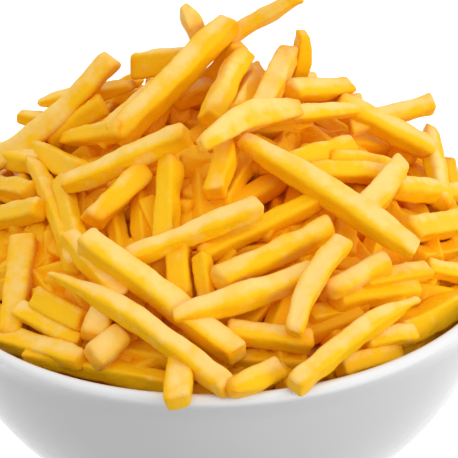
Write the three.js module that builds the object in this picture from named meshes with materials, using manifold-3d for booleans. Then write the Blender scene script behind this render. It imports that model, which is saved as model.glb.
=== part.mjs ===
// A heaped portion of french fries in the round white bowl it is served in.
// Millimetres, +Z up, the origin on the table under the middle of the bowl.
import * as THREE from "three";
import { mergeVertices } from "three/addons/utils/BufferGeometryUtils.js";
import Module from "manifold-3d";

// ---- the bowl: a deep porcelain hemisphere with a rounded, slightly flared lip and a foot ring ----
const RIM_RADIUS = 100;
const RIM_HEIGHT = 93;
const LIP_ROUND = 2;
const BODY_RADIUS = 98;
const WALL = 4.2;
const BODY_CENTRE = 2; // above the rim's plane
const FLARE_HEIGHT = 9;
const FOOT_OUTER = 43;
const FOOT_WALL = 5;
const FOOT_ROUND = 0.8;
const FOOT_RECESS = 3;
const WALL_FOOT = 6; // where the outer wall meets the foot ring
const FLOOR_HEIGHT = 8.5;
const LIP_START = -45; // degrees from the horizontal, over the top to the inner side
const LIP_END = 180;
const AROUND = 48;
const ARC_STEPS = 6;
const LIP_STEPS = 5;

// ---- the heap: a plain core that the fries lie on, domed over the rim ----
const CORE_GAP = 0.45;
const CORE_RISE = 40;
const CORE_EDGE_DROP = 9;
const CORE_STEPS = 7;
const CORE_EDGE = BODY_RADIUS - WALL - CORE_GAP;
const CORE_FALL = (CORE_RISE + CORE_EDGE_DROP) / (CORE_EDGE * CORE_EDGE);
const CLEARANCE = 0.35;

// ---- the fries: square-cut potato sticks ----
const FRY_FLATS = 0.97; // the side of the section, whose edges stay sharp, over the width of a rounded one
const TIP_LENGTH = [34, 10]; // of a tip that ends in a point, and of one as thick as the fry
const TIP_SHARE = 0.4; // the most of a short fry that one tip takes
const LONGEST_FRY = 84;
const LEAST_BOW = 1.4; // a fry that bows less stays straight
const SLANT = 0.3; // how far an end may be cut askew, as a share of the width
const ROLL_SPREAD = 3; // degrees
const SEEN_FIT = 1.13; // what its rounded edges take off the width that shows
const THICKEST_FRY = 9.9;

// ---- how the fries settle ----
const PRESS = 0.62; // how far apart two crossing fries keep, as a share of their half widths
const PUSH = 0.45; // the share of a clash that each of the two gives way in one round
const PULL = 0.05; // the share of its height over its bed that a fry sinks in one round
const SINK = 0.35; // how deep a fry may be pushed below its bed, as a share of its width
const BED_LIFT = 0.45; // how high its bed lies over the dome, as a share of its width
const SETTLE_ROUNDS = 120;
const LIP_BEADS = 240; // the lip's places that a fry over the lip is held clear of
const LIP_STANDOFF = 1.1;
const PARALLEL = 1e-6;
const SEED = 7;

// The serving side: the heap is arranged for a guest who sees the bowl from the front, a little above.
const EYE_DISTANCE = 560;
const SERVING_TILT = 29;

// Fries round the back and the flanks, laid by a rule: bearings of the sides, and how many on each.
const FILL_BEARINGS = [95, 135, 180, 225, 265];
const FILL_TILT = 34;
const FILL_PER_SIDE = 15;
const FILL_TRIES = 260;
const FILL_ACROSS = 74;
const FILL_LOW = -52;
const FILL_HIGH = 46;
const FILL_LENGTH = [44, 76];
const FILL_WIDTH = [8, 9.6];
const FILL_TOP_SHARE = [0.35, 0.65];
const FILL_FLATNESS = 0.7;
const FILL_BOW = 2;
const FILL_TIP = 0.45;
const FILL_SPACING = 12;
const FRONT_WIDTH = 78;
const FRONT_DEPTH = 40;
const CREST_HEIGHT = 53;
const CREST_FALL = 0.0055;

// Fries that the guest sees, deepest first. Each row gives the two ends on the plane through the
// middle of the rim that faces the guest, as across and up in mm, then the width that shows and the
// top face's share of it and, where needed, how far the middle bows, and the thickness of each tip as
// a share of the width.
const MIDDLE_FRIES = [
  [-67, 41.5, -43.5, 35.5, 6.5, 0.4, 0, 0.55, 1],
  [-60, 45.5, -26.5, 51, 6.5, 0.35, 0, 0.6, 0.4],
  [-56.5, 32, -37.5, 45, 8, 0.2],
  [-9.5, 77.5, -2, 62, 7.5, 0.85, 0, 0.3, 1],
  [-28, 57.5, -7.5, 59, 9, 0.15],
  [0.5, 63, 31, 79.5, 6, 0.7, 0, 1, 0.75],
  [15, 55, 7, 39.5, 8.5, 0.4],
  [9.5, 63, -2, 50.5, 7, 0.8],
  [-13, 45, 2, 50.5, 8, 0.5],
  [10, 59.5, -2, 38, 8.5, 0.3],
  [-17.5, 51.5, -39.5, 32.5, 8, 0.7],
  [31.5, 67, 24.5, 45, 8, 0.4, 1.6, 0.65, 1],
  [27, 61, 14.5, 37.5, 8.5, 0.7],
  [73.5, 33, 77.5, 6.5, 8.5, 0.5, 0, 0.6, 1],
  [46, 34.5, 75, 41.5, 7.5, 0.7],
  [32, 41, 51, 42, 8, 0.6],
  [25.5, 47, 46, 47.5, 9, 0.6],
  [42, 42.5, 73.5, 25.5, 9.5, 0.5],
  [24, 22, 46, 28, 8, 0.85],
  [39, 24, 63.5, 18.5, 6, 0.8, 1, 1, 1],
  [31.5, 19, 59.5, 16.5, 8, 0.6, 1, 1, 1],
  [65, -2.5, 87.5, 2, 10, 0.7],
  [60, 13.5, 89.5, 10, 9, 0.5],
  [63.5, 20.5, 49.5, 4.5, 9.5, 0.85, 0, 0.85, 1],
  [71, -15, 89.5, -18.5, 8, 0.6],
  [6.5, 71.5, -34, 32.5, 10.5, 0.65, 0, 0.85, 1],
  [-52, 33, -31.5, 35.5, 8, 0.6, 0, 0.5, 1],
  [-67.5, 31.5, -44, 20, 9, 0.15, 1.2, 0.4, 1],
  [-79, 30.5, -59.5, 24.5, 8, 0.5],
  [-80, 19.5, -62.5, 15, 8, 0.7],
  [-63.5, 27, -49.5, -11, 9, 0.6, 2, 0.35, 1],
  [-52.5, 19.5, -47.5, -5, 7.5, 0.5],
  [-43, 4.5, -23.5, 22.5, 8.5, 0.85, 0, 1, 0.9],
  [-15.5, 25, -17.5, -2.5, 10, 0.65],
  [6, 32.5, -1, 12.5, 9, 0.7, 0, 0.4, 1],
  [-79.5, 5.5, -60, 9.5, 9, 0.5],
];
const TOP_FRIES = [
  [-35, 60.5, -78.5, 24.5, 8.5, 0.8, 3.5, 1, 1],
  [-52.5, 17, -9.5, 33.5, 9.5, 0.5, 0, 0.7, 0.9],
  [-66, 0, -71.5, -34.5, 10, 0.8],
  [-63, -21, -46, -30, 8, 0.1],
  [-69, -25, -48, -36.5, 7.5, 0.75, 0, 1, 0.7],
  [-44, -35.5, -38, -22, 8.5, 0.9],
  [-67, -41, -17, -52, 9, 0.5],
  [-81, -35.5, -47.5, -43, 9, 0.6],
  [-33.5, -33.5, -45.5, -44, 11, 0.9],
  [2, -34.5, 31, -39, 10, 0.6],
  [-6.5, -8.5, 36, 10, 9, 0.6],
  [-14, -4, -13, -24.5, 8.5, 0.2],
  [-6, -8.5, -4, -24.5, 8, 0.4],
  [-1, -17, 39.5, 0.5, 9.5, 0.65],
  [-31.5, -8.5, 15, 8, 8.5, 0.55],
  [59, -37.5, 90, -26.5, 13, 0.4],
  [39.5, -25, 68, -21.5, 9.5, 0.6],
  [40, -48, 64.5, -45, 9, 0.8, 0, 1, 0.6],
  [47.5, -19.5, 71, -16, 8, 0.6],
  [37.5, -22, 58.5, -11.5, 8.5, 0.7],
  [-52, 0, -33.5, -22, 9, 0.6],
  [49, -39.5, 68.5, -37.5, 8, 0.7, 0, 1, 0.85],
];
const LIP_FRIES = [
  [-13, -41, -15.5, -58.5, 9, 0.85],
  [2.5, -54, 18.5, -48.5, 9, 0.85, 0, 0.65, 1],
  [-58, -12.5, 2.5, -54, 9, 0.7, 3.2, 0.2, 1],
  [24.5, -54, 68.5, -25.5, 9, 0.7, 1.8, 0.85, 0.1],
];
const LAST_FRIES = [
  [-46, -1.5, 6, -42.5, 11, 0.66],
  [-16, -29, 33, -15.5, 10, 0.65, 0, 0.45, 1],
  [43, -5.5, 25, -36, 9.5, 0.75, -2.6, 1, 0.7],
  [8.5, 31.5, 67.5, -9, 11.5, 0.58, 1, 0.45, 0.55],
  [16.5, 38, 50.5, 40, 6.5, 0.65, 0, 1, 0.45],
  [-5, 29.5, 29.5, 41, 9, 0.85, 3.2, 0.5, 0.5],
];

// Fries that hang over the lip at the back, in rows of the same kind as seen from behind.
const BACK_BEARING = 180;
const BACK_FRIES = [
  [14, -32, 22, -67.5, 9.5, 0.5],
  [-40, -22, -20, -67, 9, 0.5, 1.5, 1, 0.6],
];

const POTATO_COLOUR = 0xf5c455;
const PORCELAIN_COLOUR = 0xf2f1ee;
const CRUST_ROUGHNESS = 0.6;
const GLAZE_ROUGHNESS = 0.15;

const library = await Module();
library.setup();

const RANDOM_STEP = 0x6d2b79f5;
const RANDOM_ODD = 61;
const RANDOM_RANGE = 2 ** 32;

// A repeatable stream of random numbers from 0 to 1.
function randomStream(seed) {
  let state = seed;
  return () => {
    state = (state + RANDOM_STEP) | 0;
    let mixed = Math.imul(state ^ (state >>> 15), 1 | state);
    mixed = (mixed + Math.imul(mixed ^ (mixed >>> 7), RANDOM_ODD | mixed)) ^ mixed;
    return ((mixed ^ (mixed >>> 14)) >>> 0) / RANDOM_RANGE;
  };
}

function mix(low, high, share) {
  return low + (high - low) * share;
}

// ---- profiles in the half plane of radius and height, heights measured from the rim's plane ----

// Points on a round stretch about (radius, height), between two angles from the horizontal.
function arc(radius, height, round, fromDegrees, toDegrees, steps) {
  const points = [];
  for (let step = 0; step <= steps; step += 1) {
    const angle = THREE.MathUtils.degToRad(mix(fromDegrees, toDegrees, step / steps));
    points.push(new THREE.Vector2(radius + round * Math.cos(angle), height + round * Math.sin(angle)));
  }
  return points;
}

// The angle below the horizontal at which a round wall reaches a depth below the rim's plane.
function wallAngle(round, depth) {
  return THREE.MathUtils.radToDeg(Math.asin((depth + BODY_CENTRE) / round));
}

// The bowl's inner wall from under the lip down to the floor, moved into the room by a gap.
function innerWall(gap) {
  const round = BODY_RADIUS - WALL;
  const top = -wallAngle(round, FLARE_HEIGHT);
  const bottom = -wallAngle(round, RIM_HEIGHT - FLOOR_HEIGHT);
  const points = arc(0, BODY_CENTRE, round - gap, top, bottom, ARC_STEPS);
  points.push(new THREE.Vector2(0, FLOOR_HEIGHT - RIM_HEIGHT + gap));
  return points;
}

// The bowl's outline, grown all round by a skin.
function bowlProfile(skin) {
  const foot = -RIM_HEIGHT - skin;
  const footInner = FOOT_OUTER - FOOT_WALL - skin;
  const footOuter = FOOT_OUTER + skin;
  const lowest = -wallAngle(BODY_RADIUS, RIM_HEIGHT - WALL_FOOT);
  const top = -wallAngle(BODY_RADIUS, FLARE_HEIGHT);
  const lipRadius = RIM_RADIUS - LIP_ROUND;
  const lip = LIP_ROUND + skin;
  return [
    new THREE.Vector2(0, FOOT_RECESS - RIM_HEIGHT - skin),
    new THREE.Vector2(footInner - FOOT_ROUND, FOOT_RECESS - RIM_HEIGHT - skin),
    new THREE.Vector2(footInner, foot),
    new THREE.Vector2(footOuter - FOOT_ROUND, foot),
    new THREE.Vector2(footOuter, foot + FOOT_ROUND),
    ...arc(0, BODY_CENTRE, BODY_RADIUS + skin, lowest, top, ARC_STEPS + 1),
    ...arc(lipRadius, -LIP_ROUND, lip, LIP_START, LIP_END, LIP_STEPS),
    ...innerWall(skin),
  ];
}

// The height of the dome that the lowest fries rest on.
function domeHeight(radius) {
  return CORE_RISE - CORE_FALL * radius * radius;
}

// ---- solids ----

// A closed surface made into a solid: corners that lie together become one, and empty triangles go.
function solidOf(geometry) {
  geometry.deleteAttribute("normal");
  geometry.deleteAttribute("uv");
  const merged = mergeVertices(geometry);
  const index = merged.getIndex().array;
  const triangles = [];
  for (let start = 0; start < index.length; start += 3) {
    const [first, second, third] = index.slice(start, start + 3);
    if (first !== second && second !== third && third !== first) {
      triangles.push(first, second, third);
    }
  }
  return new library.Manifold(
    new library.Mesh({
      numProp: 3,
      vertProperties: merged.getAttribute("position").array,
      triVerts: new Uint32Array(triangles),
    }),
  );
}

// A profile that starts and ends on the axis, turned about it.
function turnedSolid(profile) {
  return solidOf(new THREE.LatheGeometry(profile, AROUND).rotateX(Math.PI / 2));
}

// The heap's core: it fills the bowl to just clear of the wall and domes over the rim.
function coreSolid() {
  const wall = innerWall(CORE_GAP).reverse();
  const edge = wall[wall.length - 1];
  const profile = [...wall];
  for (let step = 1; step <= CORE_STEPS; step += 1) {
    const radius = edge.x * (1 - step / CORE_STEPS);
    profile.push(new THREE.Vector2(radius, domeHeight(radius)));
  }
  return turnedSolid(profile);
}

// ---- laying fries ----

// Where someone stands who looks at the middle of the rim, from a bearing round the bowl and a tilt
// above the table. A bearing of 0 is the serving side.
function viewpoint(bearing, tilt) {
  const turn = THREE.MathUtils.degToRad(bearing);
  const rise = THREE.MathUtils.degToRad(tilt);
  const ahead = new THREE.Vector3(
    Math.sin(turn) * Math.cos(rise),
    Math.cos(turn) * Math.cos(rise),
    -Math.sin(rise),
  );
  const right = new THREE.Vector3(Math.cos(turn), -Math.sin(turn), 0);
  const up = new THREE.Vector3().crossVectors(right, ahead);
  const eye = ahead.clone().multiplyScalar(-EYE_DISTANCE);
  return { eye, ahead, right, up };
}

// The line of sight through a place on the facing plane, for one mm of depth.
function sightLine(view, place) {
  return view.ahead
    .clone()
    .addScaledVector(view.right, place.x / EYE_DISTANCE)
    .addScaledVector(view.up, place.y / EYE_DISTANCE);
}

// Where a place in the room shows on the facing plane, and how deep it lies.
function seenAt(view, place) {
  const offset = place.clone().sub(view.eye);
  const depth = offset.dot(view.ahead);
  const scale = EYE_DISTANCE / depth;
  return { x: offset.dot(view.right) * scale, y: offset.dot(view.up) * scale, depth };
}

// The depth at which a line of sight meets the dome lifted by a height, or passes closest to it.
function domeDepth(view, place, lift) {
  const line = sightLine(view, place);
  const square = CORE_FALL * (line.x * line.x + line.y * line.y);
  const slope = 2 * CORE_FALL * (view.eye.x * line.x + view.eye.y * line.y) + line.z;
  const level = CORE_FALL * (view.eye.x ** 2 + view.eye.y ** 2) + view.eye.z - CORE_RISE - lift;
  const root = slope * slope - 4 * square * level;
  return (-slope - Math.sqrt(Math.max(root, 0))) / (2 * square);
}

// How far the top face of a fry is turned to the viewer, from the share of its width that it takes up.
function seenTurn(topShare) {
  return Math.atan2(topShare, 1 - topShare);
}

// A fry ready to be laid: the side of its square section, worked out from the width that shows of it,
// and its bed, the depths at which its ends would lie on the dome.
function preparedFry(view, seen) {
  const middle = seen.from.clone().lerp(seen.to, 0.5);
  const scale = domeDepth(view, middle, seen.width) / EYE_DISTANCE;
  const turn = seenTurn(seen.topShare);
  const side = (seen.width * SEEN_FIT) / (Math.cos(turn) + Math.sin(turn));
  const width = Math.min(side, THICKEST_FRY) * scale;
  const bed = [seen.from, seen.to].map((place) => domeDepth(view, place, width * BED_LIFT));
  return { ...seen, width, bed, depths: [...bed] };
}

// The closest places of two runs on the facing plane, as shares of their lengths, and the distance.
function closestShares(one, other) {
  const first = one.to.clone().sub(one.from);
  const second = other.to.clone().sub(other.from);
  const apart = one.from.clone().sub(other.from);
  const turn = first.cross(second);
  const choices = [];
  if (Math.abs(turn) > PARALLEL) {
    const share = second.cross(apart) / turn;
    const otherShare = first.cross(apart) / turn;
    if (share >= 0 && share <= 1 && otherShare >= 0 && otherShare <= 1) {
      return { share, otherShare, distance: 0 };
    }
  }
  for (const end of [0, 1]) {
    const mine = one.from.clone().addScaledVector(first, end).sub(other.from);
    const otherShare = THREE.MathUtils.clamp(mine.dot(second) / second.lengthSq(), 0, 1);
    choices.push({ share: end, otherShare, distance: mine.addScaledVector(second, -otherShare).length() });
    const theirs = other.from.clone().addScaledVector(second, end).sub(one.from);
    const share = THREE.MathUtils.clamp(theirs.dot(first) / first.lengthSq(), 0, 1);
    choices.push({ share, otherShare: end, distance: theirs.addScaledVector(first, -share).length() });
  }
  return choices.reduce((nearest, choice) => (choice.distance < nearest.distance ? choice : nearest));
}

// Every pair of fries that cross as seen: the later one lies nearer the viewer by what both are thick.
function crossingsOf(fries) {
  const crossings = [];
  fries.forEach((over, index) => {
    for (const under of fries.slice(0, index)) {
      const { share, otherShare, distance } = closestShares(over, under);
      const reach = (over.width + under.width) / 2;
      if (distance < reach) {
        const need = PRESS * Math.sqrt(reach * reach - distance * distance);
        crossings.push({ over, under, share, otherShare, need });
      }
    }
  });
  return crossings;
}

// Moves a fry's line of depths by a step at one share of its length.
function moveDepth(fry, share, step) {
  const lever = (1 - share) ** 2 + share ** 2;
  fry.depths[0] += (step * (1 - share)) / lever;
  fry.depths[1] += (step * share) / lever;
}

// Lets fries find their depths: each sinks towards its bed, and crossing ones push each other apart.
function settle(fries) {
  const crossings = crossingsOf(fries);
  for (let round = 0; round < SETTLE_ROUNDS; round += 1) {
    for (const { over, under, share, otherShare, need } of crossings) {
      const overDepth = THREE.MathUtils.lerp(over.depths[0], over.depths[1], share);
      const underDepth = THREE.MathUtils.lerp(under.depths[0], under.depths[1], otherShare);
      const clash = overDepth + need - underDepth;
      if (clash > 0) {
        moveDepth(over, share, -clash * PUSH);
        moveDepth(under, otherShare, clash * PUSH);
      }
    }
    for (const fry of fries) {
      fry.depths = fry.depths.map((depth, end) => {
        const sunk = mix(depth, fry.bed[end], PULL);
        return Math.min(sunk, fry.bed[end] + fry.width * SINK);
      });
    }
  }
}

// The laid fry: the ends of its middle line in the room, how it bows, and how its faces lie.
function laidFry(view, fry, random) {
  const rest = (fry.depths[0] + fry.depths[1]) / 2;
  const across = fry.to.clone().sub(fry.from);
  const longest = Math.sqrt(Math.max(LONGEST_FRY ** 2 - across.lengthSq(), 0)) / 2;
  const ends = [fry.from, fry.to].map((place, end) => {
    const depth = rest + THREE.MathUtils.clamp(fry.depths[end] - rest, -longest, longest);
    const spot = sightLine(view, place).multiplyScalar(depth).add(view.eye);
    return fry.overLip ? spot : keptInside(spot, fry.width / 2);
  });
  const sideways = new THREE.Vector2(-across.y, across.x).normalize().multiplyScalar(fry.bow);
  return {
    ends,
    bow: view.right.clone().multiplyScalar(sideways.x).addScaledVector(view.up, sideways.y),
    width: fry.width,
    tips: fry.tips,
    faces: faceDirections(view, ends, fry.topShare, mix(-ROLL_SPREAD, ROLL_SPREAD, random())),
    slants: [mix(-SLANT, SLANT, random()), mix(-SLANT, SLANT, random())],
  };
}

// Moves an end that would cross the bowl's wall or lip towards the middle of the bowl.
function keptInside(place, half) {
  const room = BODY_RADIUS - WALL - half - CLEARANCE;
  const radius = Math.hypot(place.x, place.y);
  const sinks = THREE.MathUtils.clamp(-place.z, 0, RIM_HEIGHT - FLOOR_HEIGHT);
  const widest = Math.sqrt(Math.max(room * room - sinks * sinks, 0));
  if (place.z < half + CLEARANCE && radius > widest) {
    place.x *= widest / radius;
    place.y *= widest / radius;
  }
  return place;
}

// Draws a fry that hangs over the lip towards the viewer until it clears the lip.
function clearLip(view, fry) {
  const reach = fry.width / 2 + LIP_ROUND + CLEARANCE;
  for (let step = 0; step < LIP_BEADS; step += 1) {
    const angle = (2 * Math.PI * step) / LIP_BEADS;
    const radius = RIM_RADIUS - LIP_ROUND;
    const bead = new THREE.Vector3(radius * Math.cos(angle), radius * Math.sin(angle), -LIP_ROUND);
    const seen = seenAt(view, bead);
    const run = fry.to.clone().sub(fry.from);
    const offset = new THREE.Vector2(seen.x, seen.y).sub(fry.from);
    const share = THREE.MathUtils.clamp(offset.dot(run) / run.lengthSq(), 0, 1);
    const distance = offset.addScaledVector(run, -share).length();
    const depth = THREE.MathUtils.lerp(fry.depths[0], fry.depths[1], share);
    const clash = depth + LIP_STANDOFF * Math.sqrt(Math.max(reach ** 2 - distance ** 2, 0)) - seen.depth;
    if (distance < reach && clash > 0) {
      moveDepth(fry, share, -clash);
    }
  }
}

// A place on the middle line of a fry.
function fryPoint(fry, share) {
  const bowed = Math.sin(Math.PI * share);
  return fry.ends[0].clone().lerp(fry.ends[1], share).addScaledVector(fry.bow, bowed);
}

// The directions of a fry's top face and side face: the top is the upper one of the two that the
// viewer sees, takes up a share of the width and rolls by a small angle.
function faceDirections(view, ends, topShare, rollDegrees) {
  const along = ends[1].clone().sub(ends[0]).normalize();
  const toEye = view.eye.clone().sub(ends[0].clone().lerp(ends[1], 0.5));
  toEye.addScaledVector(along, -toEye.dot(along)).normalize();
  const upward = new THREE.Vector3().crossVectors(along, toEye);
  upward.multiplyScalar(upward.z < 0 ? -1 : 1);
  const turn = seenTurn(topShare) + THREE.MathUtils.degToRad(rollDegrees);
  const top = upward.multiplyScalar(Math.cos(turn)).addScaledVector(toEye, Math.sin(turn));
  return { top, side: new THREE.Vector3().crossVectors(along, top) };
}

// One fry: a box drawn along its slightly bowed line, thinner at a tip and cut askew at its ends.
function frySolid(fry) {
  const length = fry.ends[0].distanceTo(fry.ends[1]);
  const tapers = fry.tips.map((tip) => Math.min(mix(...TIP_LENGTH, tip) / length, TIP_SHARE));
  const rings = [{ share: 0, scale: fry.tips[0], slant: fry.slants[0] }];
  if (fry.tips[0] < 1) {
    rings.push({ share: tapers[0], scale: 1, slant: 0 });
  }
  if (fry.bow.length() > LEAST_BOW) {
    rings.push({ share: 1 / 2, scale: 1, slant: 0 });
  }
  if (fry.tips[1] < 1) {
    rings.push({ share: 1 - tapers[1], scale: 1, slant: 0 });
  }
  rings.push({ share: 1, scale: fry.tips[1], slant: fry.slants[1] });
  const steps = rings.length - 1;
  const along = fry.ends[1].clone().sub(fry.ends[0]).normalize();
  const side = fry.width * FRY_FLATS;
  const box = new THREE.BoxGeometry(side, side, steps, 1, 1, steps);
  const corners = box.getAttribute("position");
  for (let corner = 0; corner < corners.count; corner += 1) {
    const ring = rings[Math.round(corners.getZ(corner) + steps / 2)];
    const toTop = corners.getX(corner) * ring.scale;
    const toSide = corners.getY(corner) * ring.scale;
    const place = fryPoint(fry, ring.share)
      .addScaledVector(fry.faces.top, toTop)
      .addScaledVector(fry.faces.side, toSide)
      .addScaledVector(along, (toTop + toSide) * ring.slant);
    corners.setXYZ(corner, place.x, place.y, place.z);
  }
  return solidOf(box);
}

// A fry as seen, from a row of the lists above.
function fryFromRow([fromAcross, fromUp, toAcross, toUp, width, topShare, bow = 0, ...tips]) {
  return {
    from: new THREE.Vector2(fromAcross, fromUp),
    to: new THREE.Vector2(toAcross, toUp),
    width,
    topShare,
    bow,
    tips: tips.length ? tips : [1, 1],
  };
}

// Fries all round the back and the flanks, where the guest at the front doesn't see them.
function layFill(random) {
  const serving = viewpoint(0, SERVING_TILT);
  return FILL_BEARINGS.flatMap((bearing) => {
    const view = viewpoint(bearing, FILL_TILT);
    const fries = [];
    for (let attempt = 0; attempt < FILL_TRIES && fries.length < FILL_PER_SIDE; attempt += 1) {
      const fry = preparedFry(view, randomFry(random));
      const spots = [fry.from, fry.to].map((place, end) =>
        sightLine(view, place).multiplyScalar(fry.bed[end]).add(view.eye));
      const middle = spots[0].clone().lerp(spots[1], 0.5);
      const crowded = fries.some((other) => other.middle.distanceTo(middle) < FILL_SPACING);
      const outside = spots.some((spot) => Math.hypot(spot.x, spot.y) > CORE_EDGE - fry.width);
      const shown = spots.some((spot) => standsOverCrest(seenAt(serving, spot)) || liesInFront(spot));
      if (!crowded && !outside && !shown) {
        fries.push({ ...fry, middle });
      }
    }
    settle(fries);
    return fries.map((fry) => laidFry(view, fry, random));
  });
}

// A fry of random size and place on the facing plane.
function randomFry(random) {
  const middle = new THREE.Vector2(
    mix(-FILL_ACROSS, FILL_ACROSS, random()),
    mix(FILL_LOW, FILL_HIGH, random()),
  );
  const angle = Math.PI * random();
  const reach = mix(...FILL_LENGTH, random()) / 2;
  const arm = new THREE.Vector2(Math.cos(angle), Math.sin(angle) * FILL_FLATNESS).multiplyScalar(reach);
  return {
    from: middle.clone().sub(arm),
    to: middle.clone().add(arm),
    width: mix(...FILL_WIDTH, random()),
    topShare: mix(...FILL_TOP_SHARE, random()),
    bow: mix(-FILL_BOW, FILL_BOW, random()),
    tips: [1, mix(FILL_TIP, 1, Math.sqrt(random()))],
  };
}

// Whether a place shows above the crest that the guest sees.
function standsOverCrest(seen) {
  return seen.y > CREST_HEIGHT - CREST_FALL * seen.x * seen.x;
}

// Whether a place lies where the listed fries cover the heap.
function liesInFront(place) {
  return Math.abs(place.x) < FRONT_WIDTH && place.y < FRONT_DEPTH;
}

// Lays the listed fries as seen from a viewpoint, deepest first.
function layRows(view, rows, random) {
  const fries = rows.map((row) => preparedFry(view, fryFromRow(row)));
  fries.forEach((fry, index) => {
    fry.overLip = LIP_FRIES.includes(rows[index]) || BACK_FRIES.includes(rows[index]);
  });
  settle(fries);
  fries.filter((fry) => fry.overLip).forEach((fry) => clearLip(view, fry));
  return fries.map((fry) => laidFry(view, fry, random));
}

// Lays the whole heap and returns its fries.
function layHeap() {
  const random = randomStream(SEED);
  const fill = layFill(random);
  const front = [...MIDDLE_FRIES, ...TOP_FRIES, ...LIP_FRIES, ...LAST_FRIES];
  return [
    ...fill,
    ...layRows(viewpoint(0, SERVING_TILT), front, random),
    ...layRows(viewpoint(BACK_BEARING, FILL_TILT), BACK_FRIES, random),
  ];
}

// The heap as one solid: the core and its fries joined, clear of the bowl, without sealed hollows.
function heapSolid() {
  let heap = coreSolid();
  for (const fry of layHeap()) {
    heap = heap.add(frySolid(fry));
  }
  heap = heap.subtract(turnedSolid(bowlProfile(CLEARANCE)));
  const bodies = heap.decompose();
  return bodies.reduce((widest, body) => (body.volume() > widest.volume() ? body : widest));
}

function geometryOf(solid) {
  const mesh = solid.getMesh();
  const geometry = new THREE.BufferGeometry();
  geometry.setAttribute("position", new THREE.BufferAttribute(mesh.vertProperties, 3));
  geometry.setIndex(new THREE.BufferAttribute(mesh.triVerts, 1));
  geometry.computeVertexNormals();
  return geometry;
}

function namedMesh(name, geometry, colour, roughness) {
  const material = new THREE.MeshStandardMaterial({ color: colour, roughness, metalness: 0 });
  const mesh = new THREE.Mesh(geometry, material);
  mesh.name = name;
  mesh.position.z = RIM_HEIGHT;
  return mesh;
}

const bowl = turnedSolid(bowlProfile(0));
const portion = new THREE.Group();
portion.name = "french_fries_portion";
portion.add(namedMesh("bowl", geometryOf(bowl), PORCELAIN_COLOUR, GLAZE_ROUGHNESS));
portion.add(namedMesh("fries", geometryOf(heapSolid()), POTATO_COLOUR, CRUST_ROUGHNESS));

export default portion;
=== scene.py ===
"""A heaped portion of french fries in a white porcelain bowl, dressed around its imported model."""
import math
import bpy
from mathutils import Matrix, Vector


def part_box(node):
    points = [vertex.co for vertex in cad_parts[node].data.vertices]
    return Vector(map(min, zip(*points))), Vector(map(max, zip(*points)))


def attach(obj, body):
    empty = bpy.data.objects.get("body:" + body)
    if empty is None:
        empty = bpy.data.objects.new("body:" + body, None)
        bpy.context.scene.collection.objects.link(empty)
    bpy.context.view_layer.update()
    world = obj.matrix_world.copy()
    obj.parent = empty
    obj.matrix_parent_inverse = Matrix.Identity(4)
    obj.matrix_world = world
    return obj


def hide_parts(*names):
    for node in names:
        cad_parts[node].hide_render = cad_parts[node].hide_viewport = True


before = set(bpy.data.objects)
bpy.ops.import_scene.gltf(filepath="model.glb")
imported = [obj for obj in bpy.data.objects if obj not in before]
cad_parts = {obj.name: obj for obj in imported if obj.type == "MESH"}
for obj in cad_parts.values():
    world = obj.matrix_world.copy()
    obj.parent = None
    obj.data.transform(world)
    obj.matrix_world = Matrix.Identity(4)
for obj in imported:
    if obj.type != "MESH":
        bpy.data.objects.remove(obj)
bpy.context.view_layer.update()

from types import SimpleNamespace

import bpy
import numpy as np
from mathutils import Matrix, Vector, noise

MM = 0.001
scene = bpy.context.scene

# ---- the bowl, in mm, with heights measured from the rim's plane ----
RIM_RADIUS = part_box("bowl")[1].x / MM
RIM_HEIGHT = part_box("bowl")[1].z / MM
LIP_ROUND = 2.0
LIP_START = -45  # degrees from the horizontal
LIP_END = 180
BODY_RADIUS = RIM_RADIUS - LIP_ROUND
WALL = 4.2
BODY_CENTRE = 2.0
FLARE_HEIGHT = 9.0
FOOT_OUTER = 43.0
FOOT_WALL = 5.0
FOOT_ROUND = 0.8
FOOT_RECESS = 3.0
RECESS_ROUND = 1.2
RECESS_SLOPE = 0.4
RECESS_FLAT = 2.5  # how far inside the foot ring the recess is flat
FOOT_WAIST = 4.0  # how high the foot ring's outside is straight
FOOT_FLARE = (0.5, 5.4)  # how far out, and how high, it starts to turn into the wall
WALL_FOOT = 6.0  # where the outer wall meets the foot ring
FLOOR_HEIGHT = 8.5
BOWL_AROUND = 256
WALL_STEPS = 60
LIP_STEPS = 18
FOOT_STEPS = 5

# ---- the dome that the fries lie on, and the clearance they keep to the bowl ----
CORE_GAP = 0.45
CORE_RISE = 40.0
CORE_EDGE_DROP = 9.0
CORE_EDGE = BODY_RADIUS - WALL - CORE_GAP
CORE_FALL = (CORE_RISE + CORE_EDGE_DROP) / CORE_EDGE ** 2
CLEARANCE = 0.35

# ---- how the fries are laid and settle, as in the part's own solids ----
LONGEST_FRY = 84.0
SLANT = 0.3  # how far an end may be cut askew, as a share of the width
ROLL_SPREAD = 3.0  # degrees
SEEN_FIT = 1.13  # what its rounded edges take off the width that shows
THICKEST_FRY = 9.9
PRESS = 0.62  # how far apart two crossing fries keep, as a share of their half widths
PUSH = 0.45  # the share of a clash that each gives way in one round
PULL = 0.05  # the share of its height over its bed that a fry sinks in one round
SINK = 0.35  # how deep it may be pushed below its bed, and how high that is, as shares of its width
BED_LIFT = 0.45
SETTLE_ROUNDS = 120
LIP_BEADS = 240  # places on the lip that a fry over it is held clear of
LIP_STANDOFF = 1.1
PARALLEL = 1e-6
SEED = 7
EYE_DISTANCE = 560.0
SERVING_TILT = 29.0
FILL_BEARINGS = (95, 135, 180, 225, 265)
FILL_TILT = 34.0
FILL_PER_SIDE = 15
FILL_TRIES = 260
FILL_ACROSS = 74.0
FILL_LOW = -52.0
FILL_HIGH = 46.0
FILL_LENGTH = (44.0, 76.0)
FILL_WIDTH = (8.0, 9.6)
FILL_TOP_SHARE = (0.35, 0.65)
FILL_FLATNESS = 0.7
FILL_BOW = 2.0
FILL_TIP = 0.45
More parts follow.
